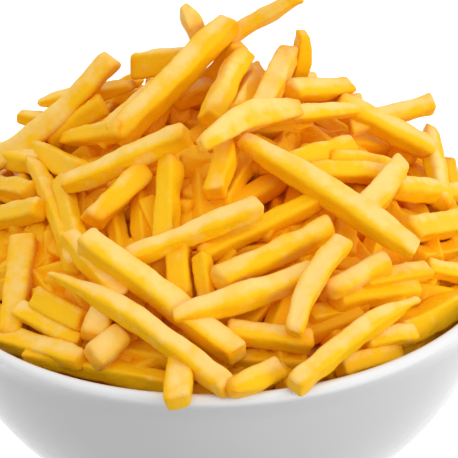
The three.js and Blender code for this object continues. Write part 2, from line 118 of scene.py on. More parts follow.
FILL_SPACING = 12.0
FRONT_WIDTH = 78.0
FRONT_DEPTH = 40.0
CREST_HEIGHT = 53.0
CREST_FALL = 0.0055

# Fries seen from the serving side, deepest first: the two ends on the plane through the middle of the
# rim that faces the guest, as across and up in mm, the width that shows and, where needed, the top
# face's share of it, the bow of the middle and each tip's thickness as a share of the width.
ROW_REST = (0.5, 0, 1, 1)  # what a row leaves out: an even share, no bow and tips as thick as the fry
MIDDLE_FRIES = (
    (-67, 41.5, -43.5, 35.5, 6.5, 0.4, 0, 0.55, 1),
    (-60, 45.5, -26.5, 51, 6.5, 0.35, 0, 0.6, 0.4),
    (-56.5, 32, -37.5, 45, 8, 0.2),
    (-9.5, 77.5, -2, 62, 7.5, 0.85, 0, 0.3, 1),
    (-28, 57.5, -7.5, 59, 9, 0.15),
    (0.5, 63, 31, 79.5, 6, 0.7, 0, 1, 0.75),
    (15, 55, 7, 39.5, 8.5, 0.4),
    (9.5, 63, -2, 50.5, 7, 0.8),
    (-13, 45, 2, 50.5, 8, 0.5),
    (10, 59.5, -2, 38, 8.5, 0.3),
    (-17.5, 51.5, -39.5, 32.5, 8, 0.7),
    (31.5, 67, 24.5, 45, 8, 0.4, 1.6, 0.65, 1),
    (27, 61, 14.5, 37.5, 8.5, 0.7),
    (73.5, 33, 77.5, 6.5, 8.5, 0.5, 0, 0.6, 1),
    (46, 34.5, 75, 41.5, 7.5, 0.7),
    (32, 41, 51, 42, 8, 0.6),
    (25.5, 47, 46, 47.5, 9, 0.6),
    (42, 42.5, 73.5, 25.5, 9.5, 0.5),
    (24, 22, 46, 28, 8, 0.85),
    (39, 24, 63.5, 18.5, 6, 0.8, 1, 1, 1),
    (31.5, 19, 59.5, 16.5, 8, 0.6, 1, 1, 1),
    (65, -2.5, 87.5, 2, 10, 0.7),
    (60, 13.5, 89.5, 10, 9, 0.5),
    (63.5, 20.5, 49.5, 4.5, 9.5, 0.85, 0, 0.85, 1),
    (71, -15, 89.5, -18.5, 8, 0.6),
    (6.5, 71.5, -34, 32.5, 10.5, 0.65, 0, 0.85, 1),
    (-52, 33, -31.5, 35.5, 8, 0.6, 0, 0.5, 1),
    (-67.5, 31.5, -44, 20, 9, 0.15, 1.2, 0.4, 1),
    (-79, 30.5, -59.5, 24.5, 8, 0.5),
    (-80, 19.5, -62.5, 15, 8, 0.7),
    (-63.5, 27, -49.5, -11, 9, 0.6, 2, 0.35, 1),
    (-52.5, 19.5, -47.5, -5, 7.5, 0.5),
    (-43, 4.5, -23.5, 22.5, 8.5, 0.85, 0, 1, 0.9),
    (-15.5, 25, -17.5, -2.5, 10, 0.65),
    (6, 32.5, -1, 12.5, 9, 0.7, 0, 0.4, 1),
    (-79.5, 5.5, -60, 9.5, 9, 0.5),
)
TOP_FRIES = (
    (-35, 60.5, -78.5, 24.5, 8.5, 0.8, 3.5, 1, 1),
    (-52.5, 17, -9.5, 33.5, 9.5, 0.5, 0, 0.7, 0.9),
    (-66, 0, -71.5, -34.5, 10, 0.8),
    (-63, -21, -46, -30, 8, 0.1),
    (-69, -25, -48, -36.5, 7.5, 0.75, 0, 1, 0.7),
    (-44, -35.5, -38, -22, 8.5, 0.9),
    (-67, -41, -17, -52, 9, 0.5),
    (-81, -35.5, -47.5, -43, 9, 0.6),
    (-33.5, -33.5, -45.5, -44, 11, 0.9),
    (2, -34.5, 31, -39, 10, 0.6),
    (-6.5, -8.5, 36, 10, 9, 0.6),
    (-14, -4, -13, -24.5, 8.5, 0.2),
    (-6, -8.5, -4, -24.5, 8, 0.4),
    (-1, -17, 39.5, 0.5, 9.5, 0.65),
    (-31.5, -8.5, 15, 8, 8.5, 0.55),
    (59, -37.5, 90, -26.5, 13, 0.4),
    (39.5, -25, 68, -21.5, 9.5, 0.6),
    (40, -48, 64.5, -45, 9, 0.8, 0, 1, 0.6),
    (47.5, -19.5, 71, -16, 8, 0.6),
    (37.5, -22, 58.5, -11.5, 8.5, 0.7),
    (-52, 0, -33.5, -22, 9, 0.6),
    (49, -39.5, 68.5, -37.5, 8, 0.7, 0, 1, 0.85),
)
LIP_FRIES = (
    (-13, -41, -15.5, -58.5, 9, 0.85),
    (2.5, -54, 18.5, -48.5, 9, 0.85, 0, 0.65, 1),
    (-58, -12.5, 2.5, -54, 9, 0.7, 3.2, 0.2, 1),
    (24.5, -54, 68.5, -25.5, 9, 0.7, 1.8, 0.85, 0.1),
)
LAST_FRIES = (
    (-46, -1.5, 6, -42.5, 11, 0.66),
    (-16, -29, 33, -15.5, 10, 0.65, 0, 0.45, 1),
    (43, -5.5, 25, -36, 9.5, 0.75, -2.6, 1, 0.7),
    (8.5, 31.5, 67.5, -9, 11.5, 0.58, 1, 0.45, 0.55),
    (16.5, 38, 50.5, 40, 6.5, 0.65, 0, 1, 0.45),
    (-5, 29.5, 29.5, 41, 9, 0.85, 3.2, 0.5, 0.5),
)
BACK_BEARING = 180
BACK_FRIES = (
    (14, -32, 22, -67.5, 9.5, 0.5),
    (-40, -22, -20, -67, 9, 0.5, 1.5, 1, 0.6),
)

# How golden each of the fries at the front is, from below 0, the palest, to 1, in the same order.
MIDDLE_TONES = (
    0.75, 0.5, 0.7, -0.1, 0.95, 0.0, 0.85, 0.5, 0.45, 0.8, 0.6, 0.7, 0.15, 0.6, 0.2, 0.7,
    0.45, 0.8, 0.75, 0.35, 0.5, 0.85, 0.45, 0.1, 0.4, 0.55, 0.35, 0.8, 0.6, 0.5, 0.45, 0.6,
    0.45, 0.7, 0.6, 0.5,
)
TOP_TONES = (
    0.0, 0.3, 0.1, 0.8, 0.3, 0.0, 0.5, 0.2, -0.1, 0.5, 0.6, 0.9, 0.7, 0.35, 0.25, 0.7,
    0.45, 0.5, 0.4, 0.2, 0.5, 0.3,
)
LIP_TONES = (
    0.6, 0.35, 0.2, 0.4,
)
LAST_TONES = (
    0.35, 0.25, 0.25, 0.45, 0.2, 0.05,
)

# Fries that show in the gaps between those, laid lower: their tops lie about where the dome is.
UNDER_LIFT = -5.0
UNDER_FRIES = (
    (-60, 6, -57, -24, 8.5),
    (-63, -12, -52, -27, 8.5),
    (-50, -19, -43, -30, 8.5),
    (-36, 12, -33, -8, 8.5),
    (-26, 14, -25, -6, 8),
    (-7, 27, -5, 2, 8.5),
    (1, 8, 14, 28, 8.5),
    (-7, -26, 5, -8, 8.5),
    (24, -18, 17, -38, 8.5),
    (4, -44, 29, -46, 8.5),
    (20, -40, 22, -56, 7.5),
    (-37, -39, -16, -43, 8),
    (30, -31, 50, -27, 8.5),
    (36, -50, 55, -37, 8.5),
    (55, -36, 76, -29, 8.5),
    (67, -11, 88, -8, 8.5),
    (60, -44, 90, -28, 9),
    (42, 29, 64, 27, 8.5),
    (8, 35, 27, 33, 8.5),
    (25, 40, 23, 22, 8.5),
    (-14, 51, -23, 33, 8.5),
    (-62, 34, -42, 29, 8),
    (-54, 11, -34, 19, 8.5),
    (-67, 27, -64, 8, 8),
    (-82, 20, -62, 12, 8.5),
    (-82, 10, -66, 2, 8.5),
    (-84, -6, -70, -14, 8.5),
    (-84, -22, -68, -30, 8.5),
    (-62, -20, -50, -38, 8.5),
    (78, 22, 92, 6, 8.5),
    (80, -4, 93, -20, 8.5),
    (66, -39, 93, -21, 9),
)

RANDOM_STEP = 0x6D2B79F5
RANDOM_ODD = 61
RANDOM_RANGE = 2 ** 32
WORD = RANDOM_RANGE - 1
UPWARD = np.array((0.0, 0.0, 1.0))


def random_stream(seed):
    """A repeatable stream of random numbers from 0 to 1, the same one that the part's solids use."""
    state = seed

    def draw():
        nonlocal state
        state = (state + RANDOM_STEP) & WORD
        mixed = ((state ^ (state >> 15)) * (1 | state)) & WORD
        mixed = ((mixed + (((mixed ^ (mixed >> 7)) * (RANDOM_ODD | mixed)) & WORD)) ^ mixed) & WORD
        return (mixed ^ (mixed >> 14)) / RANDOM_RANGE

    return draw


def mix(low, high, share):
    return low + (high - low) * share


def unit(vector):
    return vector / np.linalg.norm(vector)


def placed(name, data):
    """A new object in the scene."""
    thing = bpy.data.objects.new(name, data)
    scene.collection.objects.link(thing)
    return thing


# ---- laying fries ----

def viewpoint(bearing, tilt):
    """Where someone stands who looks at the middle of the rim, from a bearing and a tilt in degrees."""
    turn = math.radians(bearing)
    rise = math.radians(tilt)
    ahead = np.array((math.sin(turn) * math.cos(rise), math.cos(turn) * math.cos(rise), -math.sin(rise)))
    right = np.array((math.cos(turn), -math.sin(turn), 0.0))
    return SimpleNamespace(eye=-EYE_DISTANCE * ahead, ahead=ahead, right=right, up=np.cross(right, ahead))


def sight_line(view, place):
    """The line of sight through a place on the facing plane, for one mm of depth."""
    return view.ahead + view.right * place[0] / EYE_DISTANCE + view.up * place[1] / EYE_DISTANCE


def seen_at(view, place):
    """Where a place in the room shows on the facing plane, and how deep it lies."""
    offset = place - view.eye
    depth = offset @ view.ahead
    scale = EYE_DISTANCE / depth
    return np.array((offset @ view.right * scale, offset @ view.up * scale)), depth


def dome_depth(view, place, lift):
    """The depth at which a line of sight meets the dome lifted by a height, or passes closest to it."""
    line = sight_line(view, place)
    square = CORE_FALL * (line[0] ** 2 + line[1] ** 2)
    slope = 2 * CORE_FALL * (view.eye[0] * line[0] + view.eye[1] * line[1]) + line[2]
    level = CORE_FALL * (view.eye[0] ** 2 + view.eye[1] ** 2) + view.eye[2] - CORE_RISE - lift
    root = slope * slope - 4 * square * level
    return (-slope - math.sqrt(max(root, 0.0))) / (2 * square)


def seen_fry(start, end, width, top_share, bow, *tips):
    """A fry as seen, with its two ends on the facing plane."""
    return SimpleNamespace(places=(np.array(start, float), np.array(end, float)), width=width,
                           top_share=top_share, bow=bow, tips=tips, over_lip=False)


def fry_from_row(row):
    """A fry as seen, from a row of the lists above."""
    across, up, to_across, to_up, width, *rest = row
    return seen_fry((across, up), (to_across, to_up), width, *rest, *ROW_REST[len(rest):])


def seen_turn(top_share):
    """How far a fry's top face is turned to the viewer, from the share of its width that it takes up."""
    return math.atan2(top_share, 1 - top_share)


def prepare(view, fry, lift=None):
    """Gives a fry its real width and its bed, the depths at which it would lie on the dome."""
    middle = (fry.places[0] + fry.places[1]) / 2
    scale = dome_depth(view, middle, fry.width) / EYE_DISTANCE
    turn = seen_turn(fry.top_share)
    fry.width = min(fry.width * SEEN_FIT / (math.cos(turn) + math.sin(turn)), THICKEST_FRY) * scale
    height = fry.width * BED_LIFT if lift is None else lift
    fry.bed = [dome_depth(view, place, height) for place in fry.places]
    fry.depths = list(fry.bed)
    return fry


def closest_shares(one, other):
    """The closest places of two runs on the facing plane, as shares of their lengths, and the distance."""
    first = one.places[1] - one.places[0]
    second = other.places[1] - other.places[0]
    apart = one.places[0] - other.places[0]
    turn = first[0] * second[1] - first[1] * second[0]
    if abs(turn) > PARALLEL:
        share = (second[0] * apart[1] - second[1] * apart[0]) / turn
        other_share = (first[0] * apart[1] - first[1] * apart[0]) / turn
        if 0 <= share <= 1 and 0 <= other_share <= 1:
            return share, other_share, 0.0
    choices = []
    for end in (0, 1):
        mine = one.places[0] + first * end - other.places[0]
        other_share = min(max(mine @ second / (second @ second), 0.0), 1.0)
        choices.append((end, other_share, np.linalg.norm(mine - second * other_share)))
        theirs = other.places[0] + second * end - one.places[0]
        share = min(max(theirs @ first / (first @ first), 0.0), 1.0)
        choices.append((share, end, np.linalg.norm(theirs - first * share)))
    return min(choices, key=lambda choice: choice[2])


def crossings_of(fries):
    """Every pair of fries that cross as seen: the later one lies nearer the viewer by what both are thick."""
    crossings = []
    for index, over in enumerate(fries):
        for under in fries[:index]:
            share, other_share, distance = closest_shares(over, under)
            reach = (over.width + under.width) / 2
            if distance < reach:
                need = PRESS * math.sqrt(reach * reach - distance * distance)
                crossings.append((over, under, share, other_share, need))
    return crossings


def move_depth(fry, share, step):
    """Moves a fry's line of depths by a step at one share of its length."""
    lever = (1 - share) ** 2 + share ** 2
    fry.depths[0] += step * (1 - share) / lever
    fry.depths[1] += step * share / lever


def settle(fries):
    """Lets fries find their depths: each sinks towards its bed, and crossing ones push each other apart."""
    crossings = crossings_of(fries)
    for _ in range(SETTLE_ROUNDS):
        for over, under, share, other_share, need in crossings:
            over_depth = mix(over.depths[0], over.depths[1], share)
            under_depth = mix(under.depths[0], under.depths[1], other_share)
            clash = over_depth + need - under_depth
            if clash > 0:
                move_depth(over, share, -clash * PUSH)
                move_depth(under, other_share, clash * PUSH)
        for fry in fries:
            for end in (0, 1):
                sunk = mix(fry.depths[end], fry.bed[end], PULL)
                fry.depths[end] = min(sunk, fry.bed[end] + fry.width * SINK)


def kept_inside(place, half):
    """Moves an end that would cross the bowl's wall or lip towards the middle of the bowl."""
    room = BODY_RADIUS - WALL - half - CLEARANCE
    radius = math.hypot(place[0], place[1])
    sinks = min(max(-place[2], 0.0), RIM_HEIGHT - FLOOR_HEIGHT)
    widest = math.sqrt(max(room * room - sinks * sinks, 0.0))
    if place[2] < half + CLEARANCE and radius > widest:
        return np.array((place[0] * widest / radius, place[1] * widest / radius, place[2]))
    return place


def clear_lip(view, fry):
    """Draws a fry that hangs over the lip towards the viewer until it clears the lip."""
    reach = fry.width / 2 + LIP_ROUND + CLEARANCE
    for step in range(LIP_BEADS):
        angle = 2 * math.pi * step / LIP_BEADS
        radius = RIM_RADIUS - LIP_ROUND
        bead = np.array((radius * math.cos(angle), radius * math.sin(angle), -LIP_ROUND))
        seen, bead_depth = seen_at(view, bead)
        run = fry.places[1] - fry.places[0]
        offset = seen - fry.places[0]
        share = min(max(offset @ run / (run @ run), 0.0), 1.0)
        distance = np.linalg.norm(offset - run * share)
        depth = mix(fry.depths[0], fry.depths[1], share)
        clash = depth + LIP_STANDOFF * math.sqrt(max(reach ** 2 - distance ** 2, 0.0)) - bead_depth
        if distance < reach and clash > 0:
            move_depth(fry, share, -clash)


def face_directions(view, ends, top_share, roll_degrees):
    """The directions of a fry's top and side face, so that the top takes up a share of what shows."""
    along = unit(ends[1] - ends[0])
    to_eye = view.eye - (ends[0] + ends[1]) / 2
    to_eye = unit(to_eye - along * (to_eye @ along))
    upward = np.cross(along, to_eye)
    upward *= -1 if upward[2] < 0 else 1
    turn = seen_turn(top_share) + math.radians(roll_degrees)
    top = upward * math.cos(turn) + to_eye * math.sin(turn)
    return top, np.cross(along, top)


def laid_fry(view, fry, random):
    """The laid fry: the ends of its middle line in the room, how it bows, and how its faces lie."""
    rest = (fry.depths[0] + fry.depths[1]) / 2
    across = fry.places[1] - fry.places[0]
    longest = math.sqrt(max(LONGEST_FRY ** 2 - across @ across, 0.0)) / 2
    ends = []
    for place, depth in zip(fry.places, fry.depths):
        depth = rest + min(max(depth - rest, -longest), longest)
        spot = sight_line(view, place) * depth + view.eye
        ends.append(spot if fry.over_lip else kept_inside(spot, fry.width / 2))
    sideways = unit(np.array((-across[1], across[0]))) * fry.bow
    bow = view.right * sideways[0] + view.up * sideways[1]
    top, side = face_directions(view, ends, fry.top_share, mix(-ROLL_SPREAD, ROLL_SPREAD, random()))
    slants = (mix(-SLANT, SLANT, random()), mix(-SLANT, SLANT, random()))
    return SimpleNamespace(ends=ends, bow=bow, width=fry.width, tips=fry.tips, top=top, side=side,
                           slants=slants)


def random_fry(random):
    """A fry of random size and place on the facing plane."""
    middle = np.array((mix(-FILL_ACROSS, FILL_ACROSS, random()), mix(FILL_LOW, FILL_HIGH, random())))
    angle = math.pi * random()
    reach = mix(*FILL_LENGTH, random()) / 2
    arm = np.array((math.cos(angle), math.sin(angle) * FILL_FLATNESS)) * reach
    width = mix(*FILL_WIDTH, random())
    top_share = mix(*FILL_TOP_SHARE, random())
    bow = mix(-FILL_BOW, FILL_BOW, random())
    tip = mix(FILL_TIP, 1, math.sqrt(random()))
    return seen_fry(middle - arm, middle + arm, width, top_share, bow, 1, tip)


def stands_over_crest(seen):
    return seen[1] > CREST_HEIGHT - CREST_FALL * seen[0] ** 2


def lies_in_front(place):
    return abs(place[0]) < FRONT_WIDTH and place[1] < FRONT_DEPTH


def lay_fill(random):
    """Fries all round the back and the flanks, where the guest at the front doesn't see them."""
    serving = viewpoint(0, SERVING_TILT)
    laid = []
    for bearing in FILL_BEARINGS:
        view = viewpoint(bearing, FILL_TILT)
        fries = []
        for _ in range(FILL_TRIES):
            if len(fries) == FILL_PER_SIDE:
                break
            fry = prepare(view, random_fry(random))
            spots = [sight_line(view, place) * bed + view.eye for place, bed in zip(fry.places, fry.bed)]
            fry.middle = (spots[0] + spots[1]) / 2
            crowded = any(np.linalg.norm(other.middle - fry.middle) < FILL_SPACING for other in fries)
            outside = any(math.hypot(spot[0], spot[1]) > CORE_EDGE - fry.width for spot in spots)
            shown = any(stands_over_crest(seen_at(serving, spot)[0]) or lies_in_front(spot)
                        for spot in spots)
            if not (crowded or outside or shown):
                fries.append(fry)
        settle(fries)
        laid += [laid_fry(view, fry, random) for fry in fries]
    return laid


def lay_rows(view, rows, random):
    """Lays the listed fries as seen from a viewpoint, deepest first."""
    fries = [prepare(view, fry_from_row(row)) for row in rows]
    for fry, row in zip(fries, rows):
        fry.over_lip = row in LIP_FRIES or row in BACK_FRIES
    settle(fries)
    for fry in fries:
        if fry.over_lip:
            clear_lip(view, fry)
    return [laid_fry(view, fry, random) for fry in fries]


# ---- the fries below: they fill the gaps between those laid above ----
BELOW_SEED = 31
BELOW_LAYERS = ((-9.0, 110), (-16.0, 80))  # the middle's height over the dome, and how many
BELOW_LENGTH = (36.0, 58.0)
BELOW_WIDTH = (6.8, 8.0)
BELOW_TIP = 0.55
BELOW_TILT = 5.0  # degrees
BELOW_ROLL = 0.6  # radians
BELOW_BOW = 2.5
BELOW_REACH = 0.93  # how near the dome's edge the outermost middles lie
BELOW_ROOM = 1.3  # how far from the wall an end keeps, and how far down that is, in half widths
BELOW_DROP = 0.4
GOLDEN_ANGLE = math.pi * (3 - math.sqrt(5))


def lay_below(dice):
    """Fries in layers under the dome, spread evenly and turned every way."""
    laid = []
    for lift, count in BELOW_LAYERS:
        for index in range(count):
            radius = CORE_EDGE * BELOW_REACH * math.sqrt((index + 0.5) / count)
            angle = index * GOLDEN_ANGLE
            middle = np.array((radius * math.cos(angle), radius * math.sin(angle), 0.0))
            laid.append(fry_below(middle, CORE_RISE - CORE_FALL * radius ** 2 + lift, dice))
    return laid


def fry_below(middle, height, dice):
    """One lower fry about a place in the plan and a height there, sloping as the dome does."""
    heading = dice.uniform(0, math.pi)
    arm = np.array((math.cos(heading), math.sin(heading), 0.0)) * dice.uniform(*BELOW_LENGTH) / 2
    width = dice.uniform(*BELOW_WIDTH)
    tilt = math.tan(math.radians(dice.uniform(-BELOW_TILT, BELOW_TILT)))
    slope = -2 * CORE_FALL * (middle @ arm)
    ends = []
    for way in (-1, 1):
        spot = middle + arm * way
        spot[2] = height + way * (slope + np.linalg.norm(arm) * tilt)
        ends.append(below_rim(spot, width / 2))
    along = unit(ends[1] - ends[0])
    upward = unit(UPWARD - along * (UPWARD @ along))
    sideways = np.cross(along, upward)
    roll = dice.uniform(-BELOW_ROLL, BELOW_ROLL)
    top = upward * math.cos(roll) + sideways * math.sin(roll)
    bow = sideways * dice.uniform(-BELOW_BOW, BELOW_BOW)
    tips = (1, mix(BELOW_TIP, 1, math.sqrt(dice.uniform())))
    return SimpleNamespace(ends=ends, bow=bow, width=width, tips=tips, top=top, side=np.cross(along, top),
                           slants=dice.uniform(-SLANT, SLANT, 2))


def below_rim(spot, half):
    """Keeps an end of a lower fry inside the bowl's wall."""
    room = BODY_RADIUS - WALL - half * BELOW_ROOM - CLEARANCE
    drop = max(-spot[2] + BODY_CENTRE + half * BELOW_DROP, 0.0)
    widest = math.sqrt(max(room * room - drop * drop, 0.0))
    radius = math.hypot(spot[0], spot[1])
    if radius > widest:
        spot[:2] *= widest / radius
    return spot


# ---- the shape of one fry, in mm unless it says otherwise ----
END_STEPS = (0.0, 0.12, 0.4, 0.85, 1.5, 2.6)  # where the rings nearest to an end lie
END_ROUND = (0.9, 1.9)
CAP_RINGS = (0.35, 0.72)  # of the flat end, from its middle out, as shares of its size
CAPS = len(CAP_RINGS)
LEAST_RINGS = 4
CORNER_ROUND = (0.3, 0.5)  # of the section's corners, as a share of half the width
CORNER_BENDS = (0, 30, 60, 90)  # degrees
EDGE_SHARPNESS = 4
TAPER_LENGTH = (38.0, 12.0)  # of a tip that ends in a point, and of one as thick as the fry
TAPER_SHARE = 0.45
TAPER_POWERS = (1.15, 0.75)  # a tip's height tapers more than its breadth
HALF_WAVES = (1, 2, 3)
SWELL = 0.065  # how much a fry's thickness changes along it, as a share
LOPSIDED = 0.03  # how far from square it is, as a share
HOLLOW = 0.09  # the most that a face is hollowed, as a share of half the width
SKEW = 0.13
TWIST = 9.0  # degrees
WANDER = 0.75
SLANT_LENGTH = 12.0
PUFF = 0.5
LUMPS = ((0.7, 8.0), (0.24, 2.8))  # how high and how wide the crust's lumps are
LUMPS_SHIFT = 60.0  # what may be between two fries in their noise
LEAST_LUMPS = 0.3  # the share of them that is always left
RAGGED = 0.5  # how much rougher the crust is at an end
RAGGED_LENGTH = 4.0
BLISTER_SIZE = (0.9, 2.0)
BLISTER_NEAR = (0.5, 9.0)  # how far from an end the blisters near it lie
BLISTERS_NEAR = 0.7  # the share of blisters near an end
BLISTER_POWER = 1.5
BLISTER_RISE = 0.4
TIP_BROWN = (0.35, 1.0)  # how browned an end is, and how far that reaches
TIP_REACH = (2.0, 6.0)
EDGE_SCALE = 0.8  # where the section is smaller than this, its corners aren't edges
SHADE_TOP = 9.0  # how far over the dome painted shade starts to turn the crust golden
SHADE_DEPTH = 12.0
SHADE_LOSS = 0.35
SUNK_TOP = 1.5  # how far over the dome painted shade starts to make the crust browner
SUNK_DEPTH = 12.0
PAINTED_SKY = unit(np.array((0.1, -0.05, 1.0)))  # where the light painted on the crust comes from; faces turned away from it are painted golden


def section(flat_points, corner):
    """A rounded square of half side 1 as seen along the fry, and how near each point is to an edge."""
    points = []
    flats = np.linspace(-1, 1, flat_points + 2)[1:-1] * (1 - corner)
    for quarter in range(4):
        angle = quarter * math.pi / 2
        turn = np.array(((math.cos(angle), -math.sin(angle)), (math.sin(angle), math.cos(angle))))
        points += [turn @ np.array((1.0, flat)) for flat in flats]
        for bend in np.radians(CORNER_BENDS):
            arc = np.array((1 - corner + corner * math.cos(bend), 1 - corner + corner * math.sin(bend)))
            points.append(turn @ arc)
    points = np.array(points)
    near = np.abs(points).min(1) / np.abs(points).max(1)
    return points, near ** EDGE_SHARPNESS


def wave(amount, shares, dice):
    """A gentle wander along a fry that leaves its ends in place."""
    return sum(amount * dice.uniform(-1, 1) / k * np.sin(math.pi * k * shares) for k in HALF_WAVES)


def rough(places, size, offset):
    """Smooth noise from -1 to 1 at places in mm, with features of a size."""
    return np.array([noise.noise(Vector(place)) for place in (places / size + offset)])


def unit_rows(rows):
    return rows / np.linalg.norm(rows, axis=1)[:, None]


def ring_runs(length, detail):
    """How far along a fry its rings of corners lie, closer at its rounded ends and on their flats."""
    near = np.array(END_STEPS[:detail.end_steps])
    rings = max(int(length / detail.spacing), LEAST_RINGS)
    inner = np.linspace(near[-1], length - near[-1], rings)[1:-1]
    return np.concatenate((np.zeros(CAPS), near, inner, (length - near)[::-1], np.full(CAPS, length)))


def ring_scale(runs, half, dice):
    """How far each ring is drawn in, where the ends round off and on their flats, as a share."""
    to_end = np.minimum(runs, runs[-1] - runs)
    rounds = np.where(runs / runs[-1] < 0.5, *dice.uniform(*END_ROUND, 2))
    inset = rounds - np.sqrt(np.maximum(rounds ** 2 - np.maximum(rounds - to_end, 0) ** 2, 0))
    scale = 1 - inset / half
    scale[:CAPS] *= CAP_RINGS
    scale[-CAPS:] *= CAP_RINGS[::-1]
    return scale


def uneven_cut(fry, runs, scale, base, edge, dice):
    """Each ring's section: thicker and thinner, with tapered tips, hollow faces, a skew and a twist."""
    length = runs[-1]
    shares = runs / length
    taper = np.ones((len(runs), 2))
    for tip, distance in zip(fry.tips, (runs, length - runs)):
        ease = np.clip(distance / min(mix(*TAPER_LENGTH, tip), length * TAPER_SHARE), 0, 1)
        ease = ease * (2 - ease)
        taper *= np.stack([mix(tip ** power, 1, ease) for power in TAPER_POWERS], 1)
    swell = 1 + wave(SWELL, shares, dice)[:, None] + dice.uniform(-LOPSIDED, LOPSIDED, 2)
    hollow = 1 - dice.uniform(0.0, HOLLOW) * (1 - edge)
    half = fry.width / 2
    flat = base[None] * hollow[None, :, None] * (scale[:, None] * half * taper * swell)[:, None, :]
    skew = mix(*dice.uniform(-SKEW, SKEW, 2), shares)[:, None]
    splay = mix(*dice.uniform(-SKEW, SKEW, 2), shares)[:, None]
    upright = flat[..., 0] + skew * flat[..., 1]
    across = flat[..., 1] * (1 + splay * base[:, 0])
    twist = (math.radians(dice.uniform(-TWIST, TWIST)) * (shares - 0.5))[:, None]
    return np.stack((upright * np.cos(twist) - across * np.sin(twist),
                     upright * np.sin(twist) + across * np.cos(twist)), 2)


def middle_line(fry, shares, length, dice):
    """The fry's middle line, which bows and wanders a little."""
    start, end = fry.ends
    line = start + np.outer(shares, end - start) + np.outer(np.sin(math.pi * shares), fry.bow)
    wander = WANDER * min(length / LONGEST_FRY, 1)
    for face in (fry.top, fry.side):
        line = line + np.outer(wave(wander, shares, dice), face)
    return line


def end_lean(fry, runs, turned, dice):
    """How far corners move along the fry: its ends are cut askew, and their flats are puffed or hollow."""
    slant = np.zeros(len(runs))
    for lean, distance in zip(fry.slants, (runs, runs[-1] - runs)):
        slant += lean * np.clip(1 - distance / SLANT_LENGTH, 0, 1) ** 2
    bulge = np.zeros(len(runs))
    puff = dice.uniform(-PUFF, PUFF, 2)
    bulge[:CAPS] = -puff[0] * (1 - np.square(CAP_RINGS))
    bulge[-CAPS:] = puff[1] * (1 - np.square(CAP_RINGS[::-1]))
    return turned.sum(2) * slant[:, None] + bulge[:, None]


def crust_lumps(places, runs, scale, dice):
    """How high the lumps in the crust stand at each corner, rougher near the ends."""
    spots = places.reshape(-1, 3)
    offset = dice.uniform(0, LUMPS_SHIFT, 3)
    lumps = sum(height * rough(spots, size, offset) for height, size in LUMPS)
    to_end = np.minimum(runs, runs[-1] - runs)
    ragged = 1 + RAGGED * np.exp(-to_end / RAGGED_LENGTH)
    return lumps.reshape(len(runs), -1) * (np.clip(scale, LEAST_LUMPS, 1) * ragged)[:, None]


def crust_blisters(places, runs, count, dice):
    """How much of a blister is at each corner. Most blisters are near an end."""
    length = runs[-1]
    blister = np.zeros(places.shape[:2])
    for _ in range(count):
        near = dice.uniform() < BLISTERS_NEAR
        away = dice.uniform(*BLISTER_NEAR) if near else dice.uniform(BLISTER_NEAR[0], length / 2)
        spot = (away if dice.uniform() < 0.5 else length - away) / length
        ring = int(np.argmin(np.abs(runs / length - spot)))
        centre = places[ring, dice.integers(places.shape[1])]
        size = dice.uniform(*BLISTER_SIZE)
        distance = np.linalg.norm(places - centre, axis=2) / size
        dome = np.clip(1 - distance ** 2, 0, 1) ** BLISTER_POWER
        blister = np.maximum(blister, dome * size / 2)
    return blister


def tip_browning(runs, dice):
    """How browned each ring is, by its distance from the ends."""
    browned = np.zeros(len(runs))
    for distance in (runs, runs[-1] - runs):
        most = dice.uniform(*TIP_BROWN)
        browned = np.maximum(browned, most * np.exp(-distance / dice.uniform(*TIP_REACH)))
    return browned


def painted_crust_shade(corners, outward, along, rings):
    """Painted light at each corner: how much it faces the light that is painted on the crust, less where it
    lies far in the heap, and how far below the heap's surface it lies, for painted shade.
    """
    facing = np.tile(outward @ PAINTED_SKY, (rings, 1))
    facing[:CAPS] = -along @ PAINTED_SKY
    facing[-CAPS:] = along @ PAINTED_SKY
    facing = np.append(facing.ravel(), (-along @ PAINTED_SKY, along @ PAINTED_SKY)) * 0.5 + 0.5
    # painted shade: corners far below the heap's surface lose painted light and are painted deeper
    dome = CORE_RISE - CORE_FALL * (corners[:, 0] ** 2 + corners[:, 1] ** 2)
    buried = np.clip((dome + SHADE_TOP - corners[:, 2]) / SHADE_DEPTH, 0, 1)
    sunk = np.clip((dome + SUNK_TOP - corners[:, 2]) / SUNK_DEPTH, 0, 1)
    return facing * (1 - SHADE_LOSS * buried), sunk


def fry_surface(fry, detail, dice):
    """The corners and faces of one fry, and what its crust looks like at each corner, painted light and shade
    included.
    """
    start, end = fry.ends
    length = np.linalg.norm(end - start)
    along = (end - start) / length
    runs = ring_runs(length, detail)
    scale = ring_scale(runs, fry.width / 2, dice)
    base, edge = section(detail.flat_points, dice.uniform(*CORNER_ROUND))
    turned = uneven_cut(fry, runs, scale, base, edge, dice)
    line = middle_line(fry, runs / length, length, dice)
    lean = end_lean(fry, runs, turned, dice)
    places = line[:, None] + turned[..., :1] * fry.top + turned[..., 1:] * fry.side + lean[..., None] * along
    outward = unit_rows(base[:, :1] * fry.top + base[:, 1:] * fry.side)
    lumps = crust_lumps(places, runs, scale, dice)
    blister = crust_blisters(places, runs, detail.blisters, dice)
    places = places + outward[None] * (lumps + blister * BLISTER_RISE)[..., None]
    middles = np.array((places[0].mean(0), places[-1].mean(0)))
    corners = np.concatenate((places.reshape(-1, 3), middles))
    browned = tip_browning(runs, dice)
    painted_light, sunk = painted_crust_shade(corners, outward, along, len(runs))
    finish = {
        "tone": np.full(len(corners), fry.tone),
        "tip": np.append(np.repeat(browned, len(base)), (browned[0], browned[-1])),
        "edge": np.append((edge * (scale[:, None] > EDGE_SCALE)).ravel(), (0.0, 0.0)),
        "blister": np.append(blister.ravel(), (0.0, 0.0)),
        # painted light and painted shade for each corner
        "painted_light": painted_light,
        # painted shade for corners far in the heap
        "sunk": sunk,
    }
    return corners, tube_faces(len(runs), len(base)), finish


